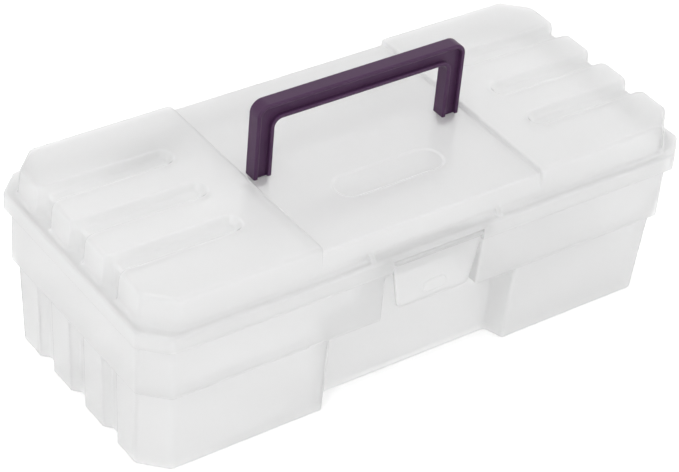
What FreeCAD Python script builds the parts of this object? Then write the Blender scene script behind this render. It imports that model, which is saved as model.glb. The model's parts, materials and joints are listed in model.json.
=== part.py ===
import FreeCAD, Part
import math
import os

# Small moulded carry box: a tub, a hinged lid, a front latch and a top handle.
# Millimetres. +X runs along the length, -Y faces the front, +Z is up.
# The origin lies under the middle of the box, on the surface that it stands on.

vec = FreeCAD.Vector

# Overall sizes
rim_length = 308.0
rim_width = 140.0
deck_height = 99.0
wall = 2.0
corner_cut = 12.0
corner_round = 4.0

# Base tub: drafted lower wall, then a proud band that goes up inside the lid's skirt
foot_inset_x = 7.0
foot_inset_y = 7.25
foot_round = 1.5
shoulder_height = 46.5
wall_draft = 2.0
band_edge_round = 0.8
skirt_gap = 0.7
rim_rest_gap = 0.3

# Lid: skirt, shelf and a raised deck with a lower panel in its middle
deck_rise = 15.0
skirt_depth = 9.0
skirt_round = 0.6
shelf_round = 1.6
shelf_valley = 2.2
deck_inset_x = 5.5
deck_inset_y = 5.75
deck_draft = 1.2
deck_round = 2.2
panel_drop = 3.0
panel_inset = 1.2
panel_round = 0.8
pad_gap = 3.3
pad_round = 1.0
label_length = 61.0
label_width = 18.0
label_depth = 0.6
label_slope = 1.0
label_y = -27.6
gusset_x = 36.0
gusset_thick = 2.6
gusset_rise = 7.0

# Flutes: three on each end of the lid's deck, and three grooves on each end of the tub
flute_count = 3
flute_pitch = 28.9
flute_mouth = 12.0
flute_floor = 6.0
flute_depth = 3.3
flute_margin = 20.3
flute_roll = 1.6
flute_valley = 2.4
flute_round = 1.2
groove_mouth = 13.0
groove_floor = 6.0
groove_depth = 3.6
groove_round = 2.0

# Finger bay in the tub's front, wide below the band and narrow through it behind the latch
bay_back = 10.0
bay_half = 49.7
bay_flare = 3.5
bay_round = 2.0
window_side = 2.1
window_drop = 3.5
window_round = 1.0
notch_step = 4.0
notch_side = 2.2

# Rear hinges
hinge_count = 2
hinge_spacing = 140.0
knuckle_radius = 3.4
knuckle_inset = 0.1
hinge_pin_radius = 1.5
running_gap = 0.05
lid_knuckle = 19.4
base_knuckle = 8.0
knuckle_gap = 0.3
channel_end = 7.0
channel_clear = 0.5
channel_drop = 1.1

# Front latch
latch_top_half = 25.4
latch_foot_half = 20.0
latch_drop = 27.0
latch_thick = 1.8
latch_round = 0.5
latch_gap = 0.3
latch_side_gap = 0.4
latch_corner = 3.0
strip_height = 2.5
barrel_radius = 2.1
barrel_inset = 0.1
barrel_clear = 0.4
latch_pin_radius = 1.0
ear_thick = 5.0
ear_clear = 1.1
grip_length = 13.0
grip_height = 6.5
grip_proud = 0.6
grip_up = 7.5
grip_round = 0.5
lip_thick = 1.6
lip_gap = 0.4
lip_clear = 0.9

# Carry handle: a U of I section, with a flange along its outer edge and one along its inner edge
handle_half = 58.5
handle_leg = 9.6
handle_height = 39.6
handle_bar = 9.5
handle_deep = 7.6
handle_web = 3.2
handle_flange = 2.1
handle_outer_round = 6.2
handle_inner_round = 4.0
handle_edge_round = 0.7
handle_web_round = 0.5
peg_length = 7.0
peg_thick = 4.6
peg_depth = 6.5
peg_barb = 0.8
peg_gap = 0.15

# Places and sizes that follow: tub and lid
foot_length = rim_length - 2 * foot_inset_x
foot_width = rim_width - 2 * foot_inset_y
shoulder_length = foot_length + 2 * wall_draft
shoulder_width = foot_width + 2 * wall_draft
band_length = rim_length - 2 * (wall + skirt_gap)
band_width = rim_width - 2 * (wall + skirt_gap)
wall_lean = wall_draft / shoulder_height
deck_length = rim_length - 2 * deck_inset_x
deck_width = rim_width - 2 * deck_inset_y
shelf_height = deck_height - deck_rise
skirt_bottom = shelf_height - skirt_depth
base_top = shelf_height - wall - rim_rest_gap
panel_height = deck_height - panel_drop
panel_half = handle_half + pad_gap
flute_start = panel_half + flute_margin
flute_band = flute_count * flute_pitch / 2

# Places and sizes that follow: hinges and latch
hinge_y = rim_width / 2 - knuckle_radius - knuckle_inset
hinge_z = skirt_bottom - knuckle_radius - knuckle_inset
knuckle_near = lid_knuckle / 2 + knuckle_gap
knuckle_far = knuckle_near + base_knuckle
channel_half = hinge_spacing * (hinge_count - 1) / 2 + knuckle_far + channel_end
strip_bottom = shelf_height - strip_height
latch_y = -rim_width / 2 + barrel_radius + barrel_inset
latch_z = strip_bottom - barrel_clear - barrel_radius
latch_foot_z = latch_z - latch_drop
ear_near = latch_top_half + latch_side_gap
ear_far = ear_near + ear_thick
bay_y = -foot_width / 2 + bay_back
window_half = latch_top_half + window_side
window_top = skirt_bottom - window_drop
notch_half = ear_far + notch_side
notch_floor = window_top + notch_step
ear_bottom = notch_floor + ear_clear
lip_bottom = window_top + wall + lip_clear

# Geometry helpers: how far a 45 degree cut moves as its outline is offset,
# how far cutting solids reach past what they cut, when two places count as one,
# and how much the faces at an edge turn before it counts as a sharp one
side_cut = 2 - math.sqrt(2)
over = 1.0
same = 1e-3
sharp = math.radians(10)


def plan(length, width, corner, z):
    # Closed outline of a rectangle with its four corners cut at 45 degrees
    hx = length / 2
    hy = width / 2
    quarter = [(hx, hy - corner), (hx - corner, hy)]
    turn = quarter + [(-x, y) for x, y in reversed(quarter)]
    ring = turn + [(-x, -y) for x, y in turn]
    points = [vec(x, y, z) for x, y in ring]
    return Part.makePolygon(points + points[:1])


def offset_plan(length, width, by, z):
    # The same outline moved outward, or inward where by is negative
    return plan(length + 2 * by, width + 2 * by, corner_cut + side_cut * by, z)


def tower(low, high):
    return Part.makeLoft([low, high], True, True)


def block(x0, x1, y0, y1, z0, z1):
    return Part.makeBox(x1 - x0, y1 - y0, z1 - z0, vec(x0, y0, z0))


def upright(points, z0, z1):
    # Prism on a plan of (x, y) points
    ring = [vec(x, y, z0) for x, y in points]
    face = Part.Face(Part.makePolygon(ring + ring[:1]))
    return face.extrude(vec(0, 0, z1 - z0))


def rod(radius, x0, x1, y, z):
    return Part.makeCylinder(radius, x1 - x0, vec(x0, y, z), vec(1, 0, 0))


def is_sharp(shape, edge):
    spot = middle(edge)
    sides = shape.ancestorsOfType(edge, Part.Face)
    normals = [face.normalAt(*face.Surface.parameter(spot)) for face in sides]
    return len(normals) > 1 and normals[0].getAngle(normals[1]) > sharp


def soften(shape, radius, choose):
    chosen = [edge for edge in shape.Edges if choose(edge) and is_sharp(shape, edge)]
    return shape.makeFillet(radius, chosen)


def ends(edge):
    return edge.Vertexes[0].Point, edge.Vertexes[-1].Point


def middle(edge):
    return edge.valueAt((edge.FirstParameter + edge.LastParameter) / 2)


def is_upright(edge):
    start, end = ends(edge)
    return abs(start.z - end.z) > over


def at_height(z):
    def choose(edge):
        return all(abs(vertex.Z - z) < same for vertex in edge.Vertexes)
    return choose


def spread(slope, skin):
    # How much wider a sloped trough's floor gets when its skin is added square to each face
    return skin * (math.hypot(1, slope) - slope)


def rows():
    first = -(flute_count - 1) / 2
    return [(first + row) * flute_pitch for row in range(flute_count)]


def flute_section(skin, place):
    # Half of a trough's section: flat floor, rounded valley and sloped flank
    slope = (flute_mouth - flute_floor) / 2 / flute_depth
    turn = math.atan2(1, slope)
    floor = -flute_depth - skin
    half = flute_floor / 2 + spread(slope, skin)
    reach = flute_depth
    start = half - flute_valley * math.tan(turn / 2)
    arc = [(start + flute_valley * math.sin(part), floor + flute_valley * (1 - math.cos(part)))
           for part in (0, turn / 2, turn)]
    top = (half + slope * (reach - floor), reach)
    corners = [place(across, up) for across, up in [(0, reach), (0, floor)] + arc + [top]]
    edges = [Part.LineSegment(corners[0], corners[1]), Part.LineSegment(corners[1], corners[2]),
             Part.Arc(corners[2], corners[3], corners[4]), Part.LineSegment(corners[4], corners[5]),
             Part.LineSegment(corners[5], corners[0])]
    return Part.Face(Part.Wire([edge.toShape() for edge in edges]))


def flute(side, y, skin):
    # Trough along the deck, rolling over its end and down to the shelf, or the skin around it
    round_x = flute_start + flute_mouth / 2
    axis_x = deck_length / 2 - flute_depth - skin - flute_roll
    axis_z = deck_height - flute_depth - skin - flute_roll
    inner_end = flute_section(skin, lambda across, up: vec(round_x, across, deck_height + up))
    over_end = flute_section(skin, lambda across, up: vec(axis_x, across, deck_height + up))
    down_end = flute_section(skin, lambda across, up: vec(deck_length / 2 + up, across, axis_z))
    tip = inner_end.revolve(vec(round_x, 0, 0), vec(0, 0, 1), 90)
    run = inner_end.extrude(vec(axis_x - round_x, 0, 0))
    bend = over_end.revolve(vec(axis_x, 0, axis_z), vec(0, 1, 0), 90)
    fall = down_end.extrude(vec(0, 0, shelf_height - skin - axis_z))
    half = tip.fuse([run, bend, fall])
    whole = half.fuse(half.mirror(vec(0, 0, 0), vec(0, 1, 0))).removeSplitter()
    if side < 0:
        whole = whole.mirror(vec(0, 0, 0), vec(1, 0, 0))
    whole.translate(vec(0, y, 0))
    return whole


def on_flute_mouth(edge):
    spot = middle(edge)
    start, end = ends(edge)
    if abs(spot.y) > flute_band or abs(spot.x) < flute_start - over:
        return False
    if abs(spot.z - deck_height) < same:
        return True
    on_end = abs(spot.x) > deck_length / 2 - deck_round - same
    return on_end and spot.z > shelf_height + same and abs(start.z - end.z) > deck_round / 4


def groove(side, y, skin):
    # Upright trough in the tub's end wall, leaning with the wall's draft
    slope = (groove_mouth - groove_floor) / 2 / groove_depth
    rings = []
    for z in (-over, shoulder_height + skin):
        face_x = foot_length / 2 + wall_lean * z
        inner = face_x - groove_depth - skin
        outer = face_x + over
        floor_half = groove_floor / 2 + spread(slope, skin)
        mouth_half = floor_half + slope * (outer - inner)
        points = [(inner, -floor_half), (outer, -mouth_half), (outer, mouth_half), (inner, floor_half)]
        ring = [vec(side * across, y + along, z) for across, along in points]
        rings.append(Part.makePolygon(ring + ring[:1]))
    return tower(rings[0], rings[1])


def on_groove(edge):
    spot = middle(edge)
    on_end = abs(spot.x) > foot_length / 2 - 2 * groove_depth
    return is_upright(edge) and on_end and abs(spot.y) < flute_band


def bay(skin):
    # Finger bay under the latch: a wide flared part below the band, a narrow part through it
    front = -rim_width / 2
    lean = bay_flare / bay_back
    back = bay_y + skin
    back_half = bay_half + skin
    front_half = back_half + lean * (back - front)
    points = [(-back_half, back), (-front_half, front), (front_half, front), (back_half, back)]
    wide = upright(points, -over, shoulder_height + skin)
    narrow_half = window_half + skin
    narrow = block(-narrow_half, narrow_half, front, back, 0, window_top + skin)
    return wide.fuse(narrow)


def on_bay(edge):
    spot = middle(edge)
    return is_upright(edge) and spot.y < bay_y + over and abs(spot.x) < bay_half + 2 * bay_flare


def on_window(edge):
    spot = middle(edge)
    return abs(abs(spot.x) - window_half) < same and is_upright(edge) and spot.y < -band_width / 2 + same


def on_band_foot(edge):
    return at_height(shoulder_height)(edge) and abs(middle(edge).y - bay_y) > same


def hinge_centres():
    first = -(hinge_count - 1) / 2
    return [(first + place) * hinge_spacing for place in range(hinge_count)]


def hinge_spans(centre):
    # The two base knuckles on either side of the lid's knuckle
    return [(centre - knuckle_far, centre - knuckle_near), (centre + knuckle_near, centre + knuckle_far)]


def hinge_channel(skin):
    back = hinge_y - knuckle_radius - channel_clear - skin
    low = hinge_z - knuckle_radius - channel_clear - channel_drop - skin
    high = hinge_z + knuckle_radius + channel_clear + skin
    half = channel_half + skin
    return block(-half, half, back, rim_width / 2, low, high)


def tub_outside():
    lower = tower(plan(foot_length, foot_width, corner_cut, 0),
                  plan(shoulder_length, shoulder_width, corner_cut, shoulder_height))
    lower = soften(lower, corner_round, is_upright)
    for side in (-1, 1):
        for y in rows():
            lower = lower.cut(groove(side, y, 0))
    lower = lower.cut(bay(0)).removeSplitter()
    lower = soften(lower, groove_round, on_groove)
    lower = soften(lower, bay_round, on_bay)
    lower = soften(lower, foot_round, at_height(0))
    band = tower(offset_plan(band_length, band_width, 0, shoulder_height),
                 offset_plan(band_length, band_width, 0, base_top))
    band = soften(band, corner_round, is_upright)
    band = soften(band.cut(bay(0)).removeSplitter(), window_round, on_window)
    band = soften(band, band_edge_round, on_band_foot)
    return lower.fuse(band)


def tub_inside():
    floor_grow = wall_lean * wall
    floor_top = shoulder_height + wall
    low = tower(offset_plan(foot_length, foot_width, floor_grow - wall, wall),
                offset_plan(shoulder_length, shoulder_width, floor_grow - wall, floor_top))
    high = tower(offset_plan(band_length, band_width, -wall, floor_top),
                 offset_plan(band_length, band_width, -wall, base_top + over))
    hollow = low.fuse(high)
    for side in (-1, 1):
        for y in rows():
            hollow = hollow.cut(groove(side, y, wall))
    return hollow.cut(bay(wall)).cut(hinge_channel(wall))


def base_tub():
    tub = tub_outside().cut(tub_inside()).cut(hinge_channel(0))
    notch = block(-notch_half, notch_half, -rim_width / 2, bay_y, notch_floor, base_top + over)
    tub = tub.cut(notch)
    web_back = hinge_y - knuckle_radius - channel_clear - wall / 2
    low = hinge_z - knuckle_radius
    high = hinge_z + knuckle_radius
    for centre in hinge_centres():
        spans = hinge_spans(centre)
        for x0, x1 in spans:
            web = block(x0, x1, web_back, hinge_y, low, high)
            tub = tub.fuse(rod(knuckle_radius, x0, x1, hinge_y, hinge_z).fuse(web))
        tub = tub.cut(rod(hinge_pin_radius, spans[0][0], spans[1][1], hinge_y, hinge_z))
    return tub.removeSplitter()


def panel_cut(skin):
    # What the lower middle panel takes away from the deck: its top, and a leaning slice front and back
    half = panel_half + skin
    level = panel_height - skin
    high = deck_height + over
    low = shelf_height + shelf_valley - skin
    edge = deck_width / 2 - panel_inset - skin
    base = deck_width / 2 + deck_draft - skin
    cut = block(-half, half, -rim_width, rim_width, level, high)
    for side in (-1, 1):
        points = [(edge, level), (edge, high), (rim_width, high), (rim_width, low), (base, low)]
        ring = [vec(-half, side * y, z) for y, z in points]
        face = Part.Face(Part.makePolygon(ring + ring[:1]))
        cut = cut.fuse(face.extrude(vec(2 * half, 0, 0)))
    return cut.removeSplitter()


def stadium(length, width, y, z):
    half = width / 2
    run = length / 2 - half
    right = Part.Arc(vec(run, y - half, z), vec(run + half, y, z), vec(run, y + half, z))
    left = Part.Arc(vec(-run, y + half, z), vec(-run - half, y, z), vec(-run, y - half, z))
    front = Part.LineSegment(vec(-run, y - half, z), vec(run, y - half, z))
    back = Part.LineSegment(vec(run, y + half, z), vec(-run, y + half, z))
    return Part.Wire([edge.toShape() for edge in (front, right, back, left)])


def gusset(x):
    # Sloped rib on the front shelf, from the deck's wall to the rim
    root = -deck_width / 2 + wall
    toe = -rim_width / 2 + shelf_round
    points = [vec(x, root, shelf_height - over), vec(x, toe, shelf_height - over),
              vec(x, toe, shelf_height), vec(x, root, shelf_height + gusset_rise)]
    face = Part.Face(Part.makePolygon(points + points[:1]))
    return face.extrude(vec(gusset_thick, 0, 0))


def peg_slot(side):
    centre = side * (handle_half - handle_leg / 2)
    half = peg_length / 2 + peg_gap
    depth = peg_thick / 2 + peg_gap
    return block(centre - half, centre + half, -depth, depth, shelf_height, deck_height)


def on_pad_edge(edge):
    # Top edges of the two end pads along the lower panel
    along = all(abs(abs(vertex.X) - panel_half) < same for vertex in edge.Vertexes)
    return along and at_height(deck_height)(edge)


def on_panel_edge(edge):
    # Front and back edges of the lower panel
    spot = middle(edge)
    if not at_height(panel_height)(edge):
        return False
    return abs(spot.x) < panel_half - over and abs(spot.y) > deck_width / 4


def lid_outside():
    skirt = tower(offset_plan(rim_length, rim_width, 0, skirt_bottom),
                  offset_plan(rim_length, rim_width, 0, shelf_height))
    skirt = soften(skirt, corner_round, is_upright)
    skirt = soften(skirt, shelf_round, at_height(shelf_height))
    skirt = soften(skirt, skirt_round, at_height(skirt_bottom))
    deck = tower(offset_plan(deck_length, deck_width, deck_draft, shelf_height - over),
                 offset_plan(deck_length, deck_width, 0, deck_height))
    deck = soften(deck, corner_round, is_upright)
    deck = soften(deck, deck_round, at_height(deck_height))
    for side in (-1, 1):
        for y in rows():
            deck = deck.cut(flute(side, y, 0))
    deck = soften(deck.removeSplitter(), flute_round, on_flute_mouth)
    lid = soften(skirt.fuse(deck).removeSplitter(), shelf_valley, at_height(shelf_height))
    lid = lid.cut(panel_cut(0)).removeSplitter()
    lid = soften(lid, pad_round, on_pad_edge)
    return soften(lid, panel_round, on_panel_edge)


def lid_inside():
    skirt = tower(offset_plan(rim_length, rim_width, -wall, skirt_bottom - over),
                  offset_plan(rim_length, rim_width, -wall, shelf_height - wall))
    deck = tower(offset_plan(deck_length, deck_width, deck_draft - wall, shelf_height - wall - over),
                 offset_plan(deck_length, deck_width, -wall, deck_height - wall))
    deck = deck.cut(panel_cut(wall))
    for side in (-1, 1):
        for y in rows():
            deck = deck.cut(flute(side, y, wall))
    return skirt.fuse(deck)


def label_recess():
    inset = 2 * label_slope
    low = stadium(label_length - inset, label_width - inset, label_y, panel_height - label_depth)
    high = stadium(label_length, label_width, label_y, panel_height)
    return tower(low, high)


def add_latch_seat(lid):
    # Window in the front skirt, two ears for the pin and a lip that closes the gap behind the barrel
    front = -rim_width / 2
    root = shelf_height - wall / 2
    lid = lid.cut(block(-ear_near, ear_near, front, front + wall + over, skirt_bottom, strip_bottom))
    ear_back = latch_y + barrel_radius
    for side in (-1, 1):
        x0, x1 = sorted((side * ear_near, side * ear_far))
        lid = lid.fuse(block(x0, x1, front + wall / 2, ear_back, ear_bottom, root))
    lid = lid.cut(rod(latch_pin_radius, -ear_far, ear_far, latch_y, latch_z))
    lip_front = -band_width / 2 + wall + lip_gap
    return lid.fuse(block(-notch_half, notch_half, lip_front, lip_front + lip_thick, lip_bottom, root))


def add_lid_knuckle(lid, centre):
    x0 = centre - lid_knuckle / 2
    x1 = centre + lid_knuckle / 2
    rear = rim_width / 2
    barrel = rod(knuckle_radius, x0, x1, hinge_y, hinge_z)
    arm = block(x0, x1, hinge_y, rear, hinge_z, skirt_bottom - channel_clear)
    strap = block(x0, x1, rear - wall, rear, hinge_z, skirt_bottom + over)
    lid = lid.fuse(barrel.fuse([arm, strap]))
    return lid.cut(rod(hinge_pin_radius + running_gap, x0, x1, hinge_y, hinge_z))


def lid_shell():
    lid = lid_outside().cut(lid_inside()).cut(label_recess())
    for side in (-1, 1):
        lid = lid.fuse(gusset(side * gusset_x - gusset_thick / 2))
        lid = lid.cut(peg_slot(side))
    lid = add_latch_seat(lid)
    for centre in hinge_centres():
        lid = add_lid_knuckle(lid, centre)
    return lid.removeSplitter()


def handle_outline(inset, foot):
    # Closed U in the XZ plane at y = 0, drawn in by the inset along its outer and inner edges
    half = handle_half - inset
    inside = handle_half - handle_leg + inset
    top = panel_height + handle_height - inset
    under = panel_height + handle_height - handle_bar + inset
    outer = handle_outer_round - inset
    inner = handle_inner_round + inset
    bend = 1 - math.sqrt(0.5)
    edges = []

    def line(x0, z0, x1, z1):
        edges.append(Part.LineSegment(vec(x0, 0, z0), vec(x1, 0, z1)).toShape())

    def corner(side, x, z, radius):
        # Quarter round between an upright at x and a level line at z
        spots = [(x, z - radius), (x - bend * radius, z - bend * radius), (x - radius, z)]
        ring = [vec(side * across, 0, up) for across, up in spots]
        edges.append(Part.Arc(ring[0], ring[1], ring[2]).toShape())

    for side in (-1, 1):
        line(side * half, foot, side * half, top - outer)
        corner(side, half, top, outer)
        line(side * inside, foot, side * inside, under - inner)
        corner(side, inside, under, inner)
        line(side * half, foot, side * inside, foot)
    line(-half + outer, top, half - outer, top)
    line(-inside + inner, under, inside - inner, under)
    return Part.Wire(Part.sortEdges(edges)[0])


def slab(wire, y0, y1):
    face = Part.Face(wire)
    face.translate(vec(0, y0, 0))
    return face.extrude(vec(0, y1 - y0, 0))


def barbed_peg(side):
    # Foot that snaps through the lid's panel
    centre = side * (handle_half - handle_leg / 2)
    under = panel_height - wall - peg_gap
    foot = panel_height - peg_depth
    half = peg_thick / 2
    reach = half + peg_barb
    nose = half - peg_barb / 2
    points = [(-half, panel_height), (-half, under), (-reach, under), (-nose, foot),
              (nose, foot), (reach, under), (half, under), (half, panel_height)]
    ring = [vec(centre - peg_length / 2, y, z) for y, z in points]
    face = Part.Face(Part.makePolygon(ring + ring[:1]))
    return face.extrude(vec(peg_length, 0, 0))


def carry_handle():
    front = handle_deep / 2

    def rim(edge):
        start, end = ends(edge)
        on_face = all(abs(abs(point.y) - front) < same for point in (start, end))
        return on_face and max(start.z, end.z) > panel_height + same

    handle = soften(slab(handle_outline(0, panel_height), -front, front), handle_edge_round, rim)
    hollow = handle_outline(handle_flange, panel_height - over)
    for side in (-1, 1):
        y0, y1 = sorted((side * handle_web / 2, side * (front + over)))
        handle = handle.cut(slab(hollow, y0, y1))
    handle = soften(handle, handle_web_round, rim)
    for side in (-1, 1):
        handle = handle.fuse(barbed_peg(side))
    return handle.removeSplitter()


def latch_flap():
    inner = -band_width / 2 - latch_gap
    outer = inner - latch_thick
    points = [vec(-latch_top_half, outer, latch_z), vec(latch_top_half, outer, latch_z),
              vec(latch_foot_half, outer, latch_foot_z), vec(-latch_foot_half, outer, latch_foot_z)]
    face = Part.Face(Part.makePolygon(points + points[:1]))
    flap = face.extrude(vec(0, latch_thick, 0))

    def foot_corner(edge):
        start, end = ends(edge)
        return abs(start.y - end.y) > latch_thick / 2 and abs(start.z - latch_foot_z) < same

    def front_rim(edge):
        start, end = ends(edge)
        front = all(abs(point.y - outer) < same for point in (start, end))
        return front and min(start.z, end.z) < latch_z - barrel_radius

    flap = soften(flap, latch_corner, foot_corner)
    flap = soften(flap, latch_round, front_rim)
    grip = Part.Face(stadium(grip_length, grip_height, 0, 0)).extrude(vec(0, 0, grip_proud + over))
    grip.rotate(vec(0, 0, 0), vec(1, 0, 0), 90)
    grip.translate(vec(0, outer + over, latch_foot_z + grip_up))

    def grip_rim(edge):
        return all(abs(vertex.Y - outer + grip_proud) < same for vertex in edge.Vertexes)

    grip = soften(grip, grip_round, grip_rim)
    barrel = rod(barrel_radius, -latch_top_half, latch_top_half, latch_y, latch_z)
    flap = flap.fuse(grip).fuse(barrel)
    bore = rod(latch_pin_radius + running_gap, -latch_top_half, latch_top_half, latch_y, latch_z)
    return flap.cut(bore).removeSplitter()


def latch_pin():
    return rod(latch_pin_radius, -ear_far, ear_far, latch_y, latch_z)


def hinge_pin(centre):
    spans = hinge_spans(centre)
    return rod(hinge_pin_radius, spans[0][0], spans[1][1], hinge_y, hinge_z)


pieces = {
    "base_tub": base_tub(),
    "lid_shell": lid_shell(),
    "carry_handle": carry_handle(),
    "latch_flap": latch_flap(),
    "latch_pin": latch_pin(),
}
for name, place in zip(("hinge_pin_left", "hinge_pin_right"), hinge_centres()):
    pieces[name] = hinge_pin(place)

os.makedirs("parts", exist_ok=True)
for name, shape in pieces.items():
    if shape.ShapeType == "Compound" and len(shape.Solids) == 1:
        shape = shape.Solids[0]
    shape.exportStep("parts/" + name + ".step")
    box = shape.BoundBox
    print(name, "solids", len(shape.Solids), "valid", shape.isValid(), "volume", round(shape.Volume, 1),
          "box", [round(v, 2) for v in (box.XMin, box.YMin, box.ZMin, box.XMax, box.YMax, box.ZMax)])
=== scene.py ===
import bpy
import json
import numpy as np
from math import cos, radians, sin
from mathutils import Matrix

# looks for a small moulded carry box: milky see-through tub and lid, plum handle, steel pins
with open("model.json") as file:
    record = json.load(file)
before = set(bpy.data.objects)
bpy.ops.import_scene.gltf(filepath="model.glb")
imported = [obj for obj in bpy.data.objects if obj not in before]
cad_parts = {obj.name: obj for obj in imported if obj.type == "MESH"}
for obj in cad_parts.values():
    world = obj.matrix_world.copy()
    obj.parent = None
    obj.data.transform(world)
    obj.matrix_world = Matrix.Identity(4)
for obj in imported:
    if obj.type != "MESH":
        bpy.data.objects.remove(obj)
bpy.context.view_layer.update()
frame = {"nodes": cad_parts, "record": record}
nodes = frame["nodes"]
print("frame loaded:", ", ".join(sorted(nodes)))

# settings that the finishes share
shared = {"noiseRoughness": 0.55, "roundingSamples": 6}


# node helpers
def newMaterial(name):
    material = bpy.data.materials.new(name)
    material.use_nodes = True
    tree = material.node_tree
    return material, tree, tree.nodes["Principled BSDF"]


def addNode(tree, kind, values=None, **settings):
    node = tree.nodes.new(kind)
    for key, value in settings.items():
        setattr(node, key, value)
    for key, value in (values or {}).items():
        node.inputs[key].default_value = value
    return node


def wire(tree, source, output, target, socket):
    tree.links.new(source.outputs[output], target.inputs[socket])


def noiseAt(tree, place, pattern):
    # a pattern holds cells per metre, layers of detail and the stretch along x, y and z
    scale, detail, stretch = pattern
    mapping = addNode(tree, "ShaderNodeMapping", {"Scale": stretch})
    noise = addNode(tree, "ShaderNodeTexNoise",
                    {"Scale": scale, "Detail": detail, "Roughness": shared["noiseRoughness"]})
    wire(tree, place, "Object", mapping, "Vector")
    wire(tree, mapping, "Vector", noise, "Vector")
    return noise


def tintBy(tree, noise, span, lowColour, highColour):
    # one colour below the span of the noise, the other above it
    node = addNode(tree, "ShaderNodeValToRGB")
    node.color_ramp.elements[0].position = span[0]
    node.color_ramp.elements[0].color = (*lowColour, 1)
    node.color_ramp.elements[1].position = span[1]
    node.color_ramp.elements[1].color = (*highColour, 1)
    wire(tree, noise, "Fac", node, "Fac")
    return node


def rescale(tree, source, output, span, toSpan):
    node = addNode(tree, "ShaderNodeMapRange", {"From Min": span[0], "From Max": span[1],
                                                "To Min": toSpan[0], "To Max": toSpan[1]})
    wire(tree, source, output, node, "Value")
    return node


def edgeMask(tree, finish):
    # how far the rounded normal turns from the true one: 0 on flats, 1 on edges
    rounded = addNode(tree, "ShaderNodeBevel", {"Radius": finish["rounding"]},
                      samples=shared["roundingSamples"])
    true = addNode(tree, "ShaderNodeNewGeometry")
    dot = addNode(tree, "ShaderNodeVectorMath", operation="DOT_PRODUCT")
    wire(tree, rounded, "Normal", dot, 0)
    wire(tree, true, "Normal", dot, 1)
    return rounded, rescale(tree, dot, "Value", finish["edgeSpan"], (0, 1))


def mixTone(tree, mask, maskOutput, source, colour):
    # source colour going over to a set colour as the mask goes from 0 to 1
    node = addNode(tree, "ShaderNodeMix", data_type="RGBA")
    sockets = {socket.identifier: socket for socket in node.inputs}
    sockets["B_Color"].default_value = (*colour, 1)
    tree.links.new(mask.outputs[maskOutput], sockets["Factor_Float"])
    tree.links.new(source.outputs["Color"], sockets["A_Color"])
    return next(socket for socket in node.outputs if socket.identifier == "Result_Color")


def roughen(tree, noise, span, shader, finish):
    rough = rescale(tree, noise, "Fac", span, finish["rough"])
    wire(tree, rough, "Result", shader, "Roughness")


def addGrain(tree, noise, shader, finish, rounded=None):
    # fine bumps, laid over the rounded normal where the finish has one
    bump = addNode(tree, "ShaderNodeBump", {"Strength": finish["grainStrength"],
                                            "Distance": finish["grain"]})
    wire(tree, noise, "Fac", bump, "Height")
    if rounded:
        wire(tree, rounded, "Normal", bump, "Normal")
    wire(tree, bump, "Normal", shader, "Normal")


# milky plastic of tub, lid and latch: see-through on the flats, less clear along edges, and whiter there,
# partly the plastic's own edge whitening and partly a painted highlight
milky = {
    # the whitest colour goes along edges: partly the plastic's own whitening, partly a painted highlight
    "thin": (0.94, 0.94, 0.94), "thick": (0.957, 0.957, 0.957), "edge": (0.98, 0.98, 0.98),
    "tubClear": 0.72, "lidClear": 0.62, "edgeClear": 0.05, "ior": 1.1,
    "rough": (0.50, 0.62), "coat": 0.7, "coatRough": 0.16,
    "flow": (14, 3, (0.4, 1, 1)), "flowSpan": (0.35, 0.65),
    "haze": (45, 4, (1, 1, 1)), "hazeSpan": (0.3, 0.7),
    "frost": (1400, 2, (1, 1, 1)), "grain": 0.00003, "grainStrength": 0.25,
    "rounding": 0.0014, "edgeSpan": (0.999, 0.93),  # cosines where an edge begins and is full
}


def milkyPlastic(name, flatClear):
    material, tree, shader = newMaterial(name)
    place = addNode(tree, "ShaderNodeTexCoord")
    flow = noiseAt(tree, place, milky["flow"])
    body = tintBy(tree, flow, milky["flowSpan"], milky["thin"], milky["thick"])
    rounded, edge = edgeMask(tree, milky)
    # painted highlight: the base colour goes whiter towards the edges, partly also the plastic's own
    # whitening there
    tone = mixTone(tree, edge, "Result", body, milky["edge"])
    tree.links.new(tone, shader.inputs["Base Color"])
    haze = noiseAt(tree, place, milky["haze"])
    roughen(tree, haze, milky["hazeSpan"], shader, milky)
    frost = noiseAt(tree, place, milky["frost"])
    addGrain(tree, frost, shader, milky, rounded)
    clear = rescale(tree, edge, "Result", (0, 1), (flatClear, milky["edgeClear"]))
    wire(tree, clear, "Result", shader, "Transmission Weight")
    shader.inputs["IOR"].default_value = milky["ior"]
    shader.inputs["Coat Weight"].default_value = milky["coat"]
    shader.inputs["Coat Roughness"].default_value = milky["coatRough"]
    return material


# plum plastic of the handle, a little paler in patches along its edges, partly from wear and partly as a
# painted highlight
plum = {
    # the paler colour for patches along edges is partly wear and partly a painted highlight
    "dark": (0.056, 0.017, 0.062), "light": (0.068, 0.024, 0.075), "wornAndHighlit": (0.13, 0.075, 0.14),
    "rough": (0.33, 0.46), "ior": 1.49, "shine": 0.35,
    "cloud": (60, 4, (1, 1, 1)), "cloudSpan": (0.3, 0.7),
    "edgePatches": (220, 4, (1, 1, 1)), "edgePatchSpan": (0.35, 0.65), "edgePatchShare": (0.2, 0.8),
    "pores": (900, 3, (1, 1, 1)), "grain": 0.00006, "grainStrength": 0.3,
    "rounding": 0.0008, "edgeSpan": (0.97, 0.7),  # cosines where an edge begins and is full
}


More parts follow.
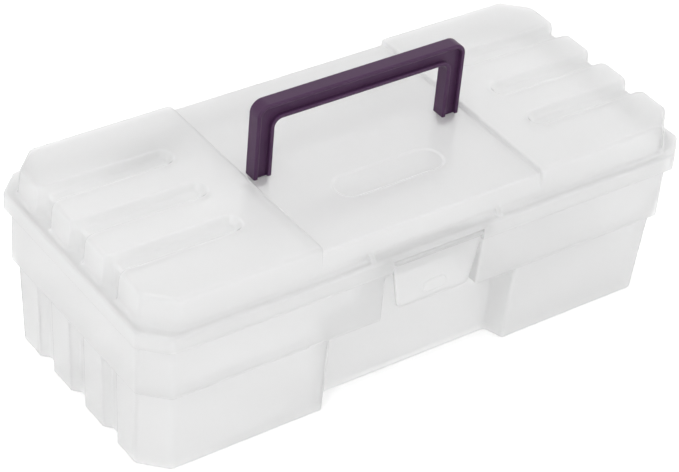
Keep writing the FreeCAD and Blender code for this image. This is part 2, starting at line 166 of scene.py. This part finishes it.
def plumPlastic():
    material, tree, shader = newMaterial("plumPlastic")
    place = addNode(tree, "ShaderNodeTexCoord")
    cloud = noiseAt(tree, place, plum["cloud"])
    body = tintBy(tree, cloud, plum["cloudSpan"], plum["dark"], plum["light"])
    rounded, edge = edgeMask(tree, plum)
    edgePatches = noiseAt(tree, place, plum["edgePatches"])
    patch = rescale(tree, edgePatches, "Fac", plum["edgePatchSpan"], plum["edgePatchShare"])
    # edge patches turn paler: partly wear, partly a painted highlight
    wearAndHighlight = addNode(tree, "ShaderNodeMath", operation="MULTIPLY")
    wire(tree, edge, "Result", wearAndHighlight, 0)
    wire(tree, patch, "Result", wearAndHighlight, 1)
    tone = mixTone(tree, wearAndHighlight, "Value", body, plum["wornAndHighlit"])
    tree.links.new(tone, shader.inputs["Base Color"])
    roughen(tree, cloud, plum["cloudSpan"], shader, plum)
    pores = noiseAt(tree, place, plum["pores"])
    addGrain(tree, pores, shader, plum, rounded)
    shader.inputs["IOR"].default_value = plum["ior"]
    shader.inputs["Specular IOR Level"].default_value = plum["shine"]
    return material


# drawn steel of the hinge and latch pins, streaked along x
steel = {
    "dark": (0.70, 0.70, 0.71), "light": (0.82, 0.82, 0.83), "rough": (0.28, 0.42),
    "streak": (900, 4, (0.03, 1, 1)), "streakSpan": (0.3, 0.7),
    "grain": 0.00002, "grainStrength": 0.2,
}


def drawnSteel():
    material, tree, shader = newMaterial("drawnSteel")
    place = addNode(tree, "ShaderNodeTexCoord")
    streak = noiseAt(tree, place, steel["streak"])
    body = tintBy(tree, streak, steel["streakSpan"], steel["dark"], steel["light"])
    wire(tree, body, "Color", shader, "Base Color")
    roughen(tree, streak, steel["streakSpan"], shader, steel)
    addGrain(tree, streak, shader, steel)
    shader.inputs["Metallic"].default_value = 1
    return material


finishes = {"frosted_plastic": milkyPlastic("milkyTub", milky["tubClear"]),
            "handle_plastic": plumPlastic(), "pin_steel": drawnSteel()}
for part in frame["record"]["subparts"]:
    nodes[part["node"]].data.materials[0] = finishes[part["material_slot"]]
# the lid hides more of what lies under it than the tub does
nodes["lid_shell"].data.materials[0] = milkyPlastic("milkyLid", milky["lidClear"])
print("finishes set on", len(nodes), "pieces")


def shownRays(tree):
    # 1 on rays that show a thing to the camera, straight, mirrored or seen through, and 0 on others
    path = addNode(tree, "ShaderNodeLightPath")
    straight = addNode(tree, "ShaderNodeMath", operation="MAXIMUM")
    shown = addNode(tree, "ShaderNodeMath", operation="MAXIMUM")
    wire(tree, path, "Is Camera Ray", straight, 0)
    wire(tree, path, "Is Glossy Ray", straight, 1)
    wire(tree, straight, "Value", shown, 0)
    wire(tree, path, "Is Transmission Ray", shown, 1)
    return shown


# floor: one flat grid, white to the camera where nothing shades it
floorLook = {"size": 6.0, "steps": 3, "colour": (0.95, 0.95, 0.95), "rough": 0.9, "shine": 0, "lift": 0.3}


def floorGrid():
    # x and y run evenly over the square, z is 0 all over
    count = floorLook["steps"]
    line = np.linspace(-0.5, 0.5, count) * floorLook["size"]
    x, y = np.meshgrid(line, line, indexing="ij")
    points = np.stack([x, y, np.zeros_like(x)], axis=-1).reshape(-1, 3)
    first = (np.arange(count - 1)[:, None] * count + np.arange(count - 1)).ravel()
    quads = np.stack([first, first + count, first + count + 1, first + 1], axis=-1)
    mesh = bpy.data.meshes.new("floor")
    mesh.from_pydata(points.tolist(), [], quads.tolist())
    floor = bpy.data.objects.new("floor", mesh)
    bpy.context.scene.collection.objects.link(floor)
    return floor


def paleFloor():
    # plain white paper, shown with a little added light
    material, tree, shader = newMaterial("paleFloor")
    shader.inputs["Base Color"].default_value = (*floorLook["colour"], 1)
    shader.inputs["Roughness"].default_value = floorLook["rough"]
    shader.inputs["Specular IOR Level"].default_value = floorLook["shine"]
    lift = rescale(tree, shownRays(tree), "Value", (0, 1), (0, floorLook["lift"]))
    shader.inputs["Emission Color"].default_value = (1, 1, 1, 1)
    wire(tree, lift, "Result", shader, "Emission Strength")
    return material


floor = floorGrid()
floor.data.materials.append(paleFloor())
print("floor set")


def unit(vector):
    return vector / np.linalg.norm(vector)


def poseFrom(right, up, back, spot):
    # the three axes and the place of a lamp or camera, one in each column
    pose = np.eye(4)
    pose[:3, :] = np.stack([right, up, back, spot], axis=1)
    return Matrix(pose.tolist())


# studio light: an even white room and one soft lamp above, to the left of the camera
light = {"room": 0.92, "backdrop": 1, "lampPower": 2.3, "lampSize": 0.35, "lampSpot": (-0.75, -0.5, 1.3)}


def studioLight():
    world = bpy.data.worlds.new("studio")
    bpy.context.scene.world = world
    world.use_nodes = True
    tree = world.node_tree
    sky = tree.nodes["Background"]
    sky.inputs["Color"].default_value = (1, 1, 1, 1)
    strength = rescale(tree, shownRays(tree), "Value", (0, 1), (light["room"], light["backdrop"]))
    wire(tree, strength, "Result", sky, "Strength")
    lamp = bpy.data.lights.new("softLamp", "AREA")
    lamp.energy = light["lampPower"]
    lamp.size = light["lampSize"]
    holder = bpy.data.objects.new("softLamp", lamp)
    spot = np.array(light["lampSpot"])
    back = unit(spot)
    right = unit(np.cross((0, 0, 1), back))
    holder.matrix_world = poseFrom(right, np.cross(back, right), back, spot)
    bpy.context.scene.collection.objects.link(holder)


studioLight()
print("light set")


# camera: angles in degrees, lens and sensor in millimetres, place and clipping in metres
view = {
    "azimuth": 38.217, "elevation": 36.681, "roll": 5.492, "spot": (-0.573763, -0.724547, 0.728796),
    "lens": 126.727, "sensor": 36, "nearest": 0.05, "farthest": 50,
}


def lookThrough():
    turn = radians(view["azimuth"])
    tip = radians(view["elevation"])
    lean = radians(view["roll"])
    back = np.array([-sin(turn) * cos(tip), -cos(turn) * cos(tip), sin(tip)])
    level = unit(np.cross(-back, (0, 0, 1)))
    rise = np.cross(level, -back)
    right = cos(lean) * level + sin(lean) * rise
    up = cos(lean) * rise - sin(lean) * level
    lens = bpy.data.cameras.new("camera")
    lens.lens = view["lens"]
    lens.sensor_width = view["sensor"]
    lens.sensor_fit = "HORIZONTAL"
    lens.clip_start = view["nearest"]
    lens.clip_end = view["farthest"]
    camera = bpy.data.objects.new("camera", lens)
    camera.matrix_world = poseFrom(right, up, back, view["spot"])
    bpy.context.scene.collection.objects.link(camera)
    bpy.context.scene.camera = camera


lookThrough()
bpy.context.scene.view_settings.view_transform = "Standard"
print("camera set")
